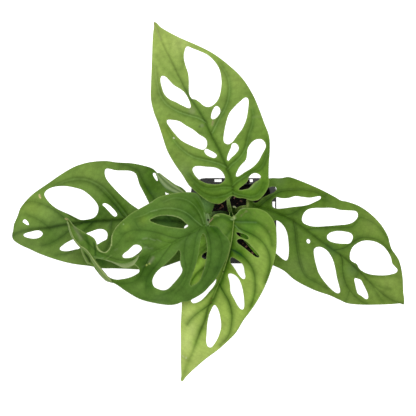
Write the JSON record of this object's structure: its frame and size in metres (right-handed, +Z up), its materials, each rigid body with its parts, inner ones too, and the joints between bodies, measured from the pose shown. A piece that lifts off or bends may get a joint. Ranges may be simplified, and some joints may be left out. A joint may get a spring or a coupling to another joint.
{
  "type": "potted plant",
  "caption": "Young Swiss cheese vine: holed, drooping leaf blades on upright stalks from a short stem, in a square black nursery pot with a slotted rim, filled with soil.",
  "frame": {"origin": "middle of the pot's flat underside, on the ground", "axes": "+Z up; +X toward the picture's right, the side of leaf_right; +Y toward the top of the picture, the side of leaf_back"},
  "size_m": [0.3987, 0.3592, 0.2282],
  "materials": {
    "pot": "satin black moulded plastic",
    "soil": "damp dark peat with bark chips",
    "stem": "smooth green vine",
    "leaf_back": "satin leaf, bright green",
    "leaf_left": "satin leaf, mid green",
    "leaf_right": "satin leaf, mid green",
    "leaf_front": "satin leaf, deep green",
    "leaf_bottom": "satin leaf, yellow green"
  },
  "bodies": {
    "root": {"pot": "pot", "soil": "soil", "stem": "stem", "leaf_back": "leaf_back", "leaf_left": "leaf_left", "leaf_right": "leaf_right", "leaf_front": "leaf_front", "leaf_bottom": "leaf_bottom"}
  },
  "joints": []
}
